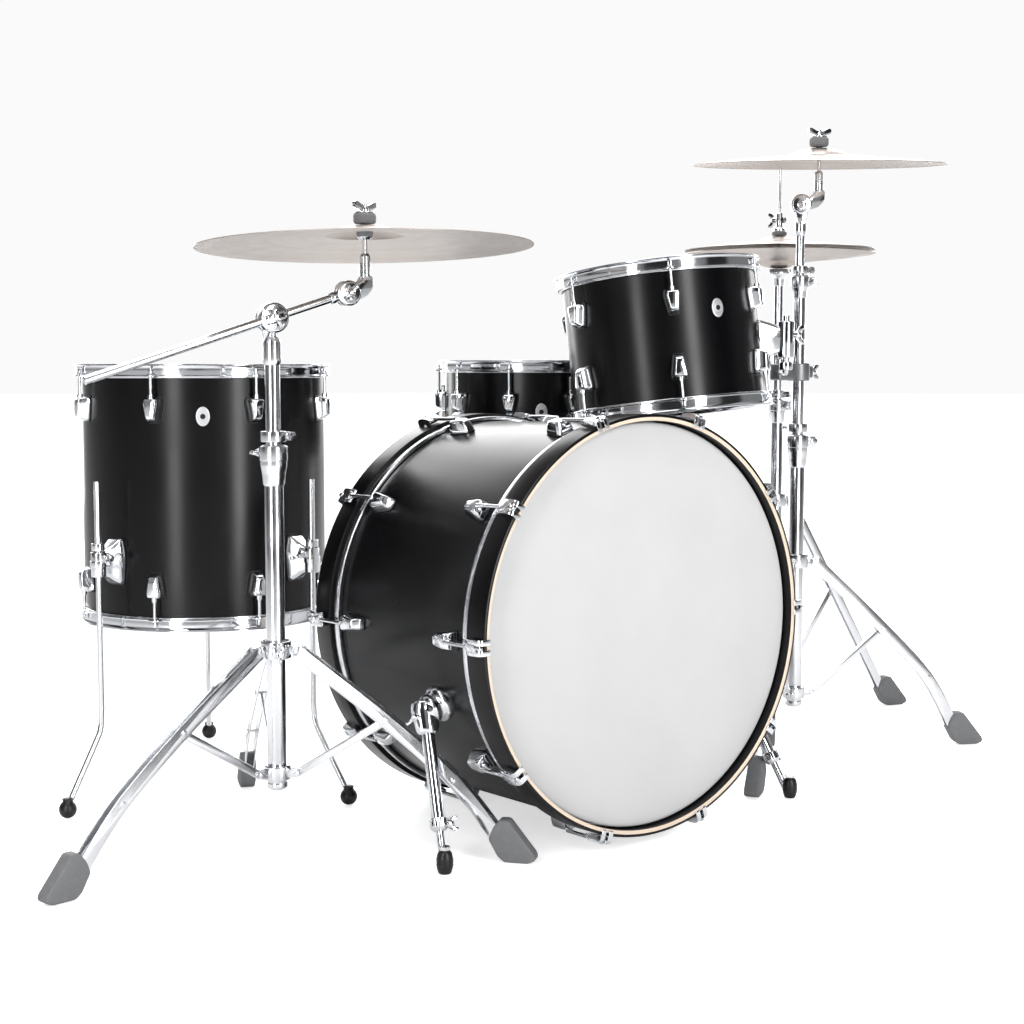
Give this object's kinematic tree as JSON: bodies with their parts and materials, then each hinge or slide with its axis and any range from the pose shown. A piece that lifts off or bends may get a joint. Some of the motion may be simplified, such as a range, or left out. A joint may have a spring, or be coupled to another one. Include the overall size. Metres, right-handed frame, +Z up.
{
  "type": "acoustic drum kit",
  "caption": "Acoustic drum kit: bass drum, rack tom, floor tom and snare with cymbals and a hi-hat on chrome stands, hinged and sliding where the real ones adjust.",
  "frame": {"origin": "middle of the kit box on the floor", "axes": "+X to the right seen from the audience side looking at the kit, along the longest side; +Y from the bass drum front head towards the player; +Z up"},
  "size_m": [1.9754, 1.0615, 1.139],
  "materials": {
    "painted_shell": "satin black lacquer over maple ply",
    "painted_hoop": "satin black lacquer, natural maple at the front edge",
    "chrome": "polished chrome plate",
    "coated_film": "sprayed white coating on polyester film",
    "clear_film": "clear polyester film",
    "bronze": "lathed and hammered bronze",
    "felt": "pressed wool felt",
    "rubber": "moulded"
  },
  "bodies": {
    "kit": {"bass_drum_shell": "painted_shell", "bass_drum_front_head": "coated_film", "bass_drum_rear_head": "coated_film", "bass_drum_front_hoop": "painted_hoop", "bass_drum_rear_hoop": "painted_hoop", "floor_tom_shell": "painted_shell", "floor_tom_top_head": "coated_film", "floor_tom_bottom_head": "clear_film", "floor_tom_top_hoop": "chrome", "floor_tom_bottom_hoop": "chrome", "crash_stand_base_tube": "chrome", "side_stand_base_tube": "chrome", "snare_stand_base": "chrome", "hihat_base": "chrome"},
    "bass_left_spur": {"bass_drum_left_spur": "chrome"},
    "bass_right_spur": {"bass_drum_right_spur": "chrome"},
    "floor_tom_leg_1": {"floor_tom_leg_1": "chrome"},
    "floor_tom_leg_2": {"floor_tom_leg_2": "chrome"},
    "floor_tom_leg_3": {"floor_tom_leg_3": "chrome"},
    "crash_leg_collar": {"crash_stand_leg_collar": "chrome"},
    "crash_leg_1": {"crash_stand_leg_1": "chrome"},
    "crash_brace_1": {"crash_stand_brace_1": "chrome"},
    "crash_leg_2": {"crash_stand_leg_2": "chrome"},
    "crash_brace_2": {"crash_stand_brace_2": "chrome"},
    "crash_leg_3": {"crash_stand_leg_3": "chrome"},
    "crash_brace_3": {"crash_stand_brace_3": "chrome"},
    "side_leg_collar": {"side_stand_leg_collar": "chrome"},
    "side_leg_1": {"side_stand_leg_1": "chrome"},
    "side_brace_1": {"side_stand_brace_1": "chrome"},
    "side_leg_2": {"side_stand_leg_2": "chrome"},
    "side_brace_2": {"side_stand_brace_2": "chrome"},
    "side_leg_3": {"side_stand_leg_3": "chrome"},
    "side_brace_3": {"side_stand_brace_3": "chrome"},
    "crash_upper_tube": {"crash_stand_upper_tube": "chrome"},
    "crash_boom_clamp": {"crash_boom_clamp": "chrome"},
    "crash_boom_arm": {"crash_boom_arm": "chrome"},
    "crash_tilter": {"crash_tilter": "chrome"},
    "crash_cymbal": {"crash_cymbal": "bronze"},
    "side_middle_tube": {"side_stand_middle_tube": "chrome"},
    "side_upper_tube": {"side_stand_upper_tube": "chrome"},
    "side_tilter": {"side_tilter": "chrome"},
    "side_cymbal": {"side_cymbal": "bronze"},
    "tom_clamp": {"tom_clamp": "chrome"},
    "tom_arm": {"tom_arm": "chrome"},
    "rack_tom": {"rack_tom_shell": "painted_shell", "rack_tom_top_head": "coated_film", "rack_tom_bottom_head": "clear_film", "rack_tom_top_hoop": "chrome", "rack_tom_bottom_hoop": "chrome"},
    "snare_drum": {"snare_basket": "chrome", "snare_shell": "painted_shell", "snare_top_head": "coated_film", "snare_bottom_head": "clear_film", "snare_top_hoop": "chrome", "snare_bottom_hoop": "chrome"},
    "hihat_tube": {"hihat_upper_tube": "chrome", "hihat_bottom_cymbal": "bronze"},
    "hihat_rod": {"hihat_pull_rod": "chrome", "hihat_top_cymbal": "bronze"},
    "hihat_footboard": {"hihat_footboard": "chrome"}
  },
  "joints": [
    {"name": "left_spur_fold", "type": "hinge", "parent": "kit", "child": "bass_left_spur", "pos_m": [-0.45266, -0.37215, 0.2134], "axis": [-0.9426, -0.0076, -0.3337], "range_deg": [0, 70]},
    {"name": "right_spur_fold", "type": "hinge", "parent": "kit", "child": "bass_right_spur", "pos_m": [0.17326, -0.37215, 0.2134], "axis": [0.9426, -0.0076, -0.3337], "range_deg": [-70, 0]},
    {"name": "floor_tom_leg_1_height", "type": "slide", "parent": "kit", "child": "floor_tom_leg_1", "axis": [0, 0, 1], "range_m": [-0.04, 0.1]},
    {"name": "floor_tom_leg_2_height", "type": "slide", "parent": "kit", "child": "floor_tom_leg_2", "axis": [0, 0, 1], "range_m": [-0.04, 0.1]},
    {"name": "floor_tom_leg_3_height", "type": "slide", "parent": "kit", "child": "floor_tom_leg_3", "axis": [0, 0, 1], "range_m": [-0.04, 0.1]},
    {"name": "crash_stand_fold", "type": "slide", "parent": "kit", "child": "crash_leg_collar", "axis": [0, 0, 1], "range_m": [0, 0.13]},
    {"name": "crash_leg_1_fold", "type": "hinge", "parent": "crash_leg_collar", "child": "crash_leg_1", "pos_m": [-0.62737, -0.19333, 0.296], "axis": [0.1392, -0.9903, 0], "range_deg": [0, 36.4]},
    {"name": "crash_brace_1_fold", "type": "hinge", "parent": "kit", "child": "crash_brace_1", "pos_m": [-0.62638, -0.19319, 0.111], "axis": [0.1392, -0.9903, 0], "range_deg": [-38.7, 0]},
    {"name": "crash_leg_2_fold", "type": "hinge", "parent": "crash_leg_collar", "child": "crash_leg_2", "pos_m": [-0.57277, -0.21539, 0.296], "axis": [0.788, 0.6157, 0], "range_deg": [0, 36.4]},
    {"name": "crash_brace_2_fold", "type": "hinge", "parent": "kit", "child": "crash_brace_2", "pos_m": [-0.57338, -0.2146, 0.111], "axis": [0.788, 0.6157, 0], "range_deg": [-38.7, 0]},
    {"name": "crash_leg_3_fold", "type": "hinge", "parent": "crash_leg_collar", "child": "crash_leg_3", "pos_m": [-0.58096, -0.15708, 0.296], "axis": [-0.9272, 0.3746, 0], "range_deg": [0, 36.4]},
    {"name": "crash_brace_3_fold", "type": "hinge", "parent": "kit", "child": "crash_brace_3", "pos_m": [-0.58134, -0.158, 0.111], "axis": [-0.9272, 0.3746, 0], "range_deg": [-38.7, 0]},
    {"name": "side_stand_fold", "type": "slide", "parent": "kit", "child": "side_leg_collar", "axis": [0, 0, 1], "range_m": [0, 0.09]},
    {"name": "side_leg_1_fold", "type": "hinge", "parent": "side_leg_collar", "child": "side_leg_1", "pos_m": [0.50218, -0.26782, 0.357], "axis": [0.4772, 0.8788, 0], "range_deg": [0, 22.7]},
    {"name": "side_brace_1_fold", "type": "hinge", "parent": "kit", "child": "side_brace_1", "pos_m": [0.5013, -0.26735, 0.111], "axis": [0.4772, 0.8788, 0], "range_deg": [-24.8, 0]},
    {"name": "side_leg_2_fold", "type": "hinge", "parent": "side_leg_collar", "child": "side_leg_2", "pos_m": [0.47141, -0.21761, 0.357], "axis": [-0.9997, -0.0262, 0], "range_deg": [0, 22.7]},
    {"name": "side_brace_2_fold", "type": "hinge", "parent": "kit", "child": "side_brace_2", "pos_m": [0.47144, -0.21861, 0.111], "axis": [-0.9997, -0.0262, 0], "range_deg": [-24.8, 0]},
    {"name": "side_leg_3_fold", "type": "hinge", "parent": "side_leg_collar", "child": "side_leg_3", "pos_m": [0.44331, -0.26937, 0.357], "axis": [0.5225, -0.8526, 0], "range_deg": [0, 22.7]},
    {"name": "side_brace_3_fold", "type": "hinge", "parent": "kit", "child": "side_brace_3", "pos_m": [0.44416, -0.26884, 0.111], "axis": [0.5225, -0.8526, 0], "range_deg": [-24.8, 0]},
    {"name": "crash_stand_height", "type": "slide", "parent": "kit", "child": "crash_upper_tube", "axis": [0, 0, 1], "range_m": [-0.04, 0.15]},
    {"name": "crash_boom_tilt", "type": "hinge", "parent": "crash_upper_tube", "child": "crash_boom_clamp", "pos_m": [-0.5937, -0.1886, 0.785], "axis": [0.1357, 0.9907, 0], "range_deg": [-25, 8]},
    {"name": "crash_boom_reach", "type": "slide", "parent": "crash_boom_clamp", "child": "crash_boom_arm", "axis": [0.9433, -0.1292, 0.3057], "range_m": [-0.07, 0.12]},
    {"name": "crash_tilt", "type": "hinge", "parent": "crash_boom_arm", "child": "crash_tilter", "pos_m": [-0.47775, -0.21205, 0.82291], "axis": [0.1357, 0.9907, 0], "range_deg": [-15, 15]},
    {"name": "crash_rock", "type": "hinge", "parent": "crash_tilter", "child": "crash_cymbal", "pos_m": [-0.44403, -0.2091, 0.921], "axis": [0.1357, 0.9907, 0], "range_deg": [-8, 8]},
    {"name": "side_stand_middle_height", "type": "slide", "parent": "kit", "child": "side_middle_tube", "axis": [0, 0, 1], "range_m": [0, 0.12]},
    {"name": "side_stand_upper_height", "type": "slide", "parent": "side_middle_tube", "child": "side_upper_tube", "axis": [0, 0, 1], "range_m": [-0.04, 0.15]},
    {"name": "side_cymbal_tilt", "type": "hinge", "parent": "side_upper_tube", "child": "side_tilter", "pos_m": [0.4723, -0.2516, 1.006], "axis": [0.6209, 0.7839, 0], "range_deg": [-12, 12]},
    {"name": "side_cymbal_rock", "type": "hinge", "parent": "side_tilter", "child": "side_cymbal", "pos_m": [0.50283, -0.26621, 1.105], "axis": [0.6209, 0.7839, 0], "range_deg": [-5, 5]},
    {"name": "tom_clamp_height", "type": "slide", "parent": "side_middle_tube", "child": "tom_clamp", "axis": [0, 0, 1], "range_m": [0, 0.06]},
    {"name": "rack_tom_tilt", "type": "hinge", "parent": "tom_clamp", "child": "tom_arm", "pos_m": [0.4213, -0.2511, 0.704], "axis": [-0.6912, -0.7226, 0], "range_deg": [-10, 1]},
    {"name": "rack_tom_swivel", "type": "hinge", "parent": "tom_arm", "child": "rack_tom", "pos_m": [0.3003, -0.3776, 0.8], "axis": [0, 0, 1], "range_deg": [0, 7]},
    {"name": "snare_height", "type": "slide", "parent": "kit", "child": "snare_drum", "axis": [0, 0, 1], "range_m": [-0.04, 0.08]},
    {"name": "hihat_height", "type": "slide", "parent": "kit", "child": "hihat_tube", "axis": [0, 0, 1], "range_m": [-0.08, 0.02]},
    {"name": "hihat_open", "type": "slide", "parent": "hihat_tube", "child": "hihat_rod", "axis": [0, 0, 1], "range_m": [0, 0.03]},
    {"name": "hihat_pedal", "type": "hinge", "parent": "kit", "child": "hihat_footboard", "pos_m": [0.47061, 0.17586, 0.024], "axis": [-0.628, -0.7782, 0], "range_deg": [0, 7.2]}
  ],
  "couplings": [
    {"joint": "crash_leg_1_fold", "follows": "crash_stand_fold", "rad_per_m": 4.842},
    {"joint": "crash_brace_1_fold", "follows": "crash_stand_fold", "rad_per_m": -5.158},
    {"joint": "crash_leg_2_fold", "follows": "crash_stand_fold", "rad_per_m": 4.842},
    {"joint": "crash_brace_2_fold", "follows": "crash_stand_fold", "rad_per_m": -5.158},
    {"joint": "crash_leg_3_fold", "follows": "crash_stand_fold", "rad_per_m": 4.842},
    {"joint": "crash_brace_3_fold", "follows": "crash_stand_fold", "rad_per_m": -5.158},
    {"joint": "side_leg_1_fold", "follows": "side_stand_fold", "rad_per_m": 4.34},
    {"joint": "side_brace_1_fold", "follows": "side_stand_fold", "rad_per_m": -4.756},
    {"joint": "side_leg_2_fold", "follows": "side_stand_fold", "rad_per_m": 4.34},
    {"joint": "side_brace_2_fold", "follows": "side_stand_fold", "rad_per_m": -4.756},
    {"joint": "side_leg_3_fold", "follows": "side_stand_fold", "rad_per_m": 4.34},
    {"joint": "side_brace_3_fold", "follows": "side_stand_fold", "rad_per_m": -4.756},
    {"joint": "hihat_pedal", "follows": "hihat_open", "rad_per_m": 4}
  ]
}
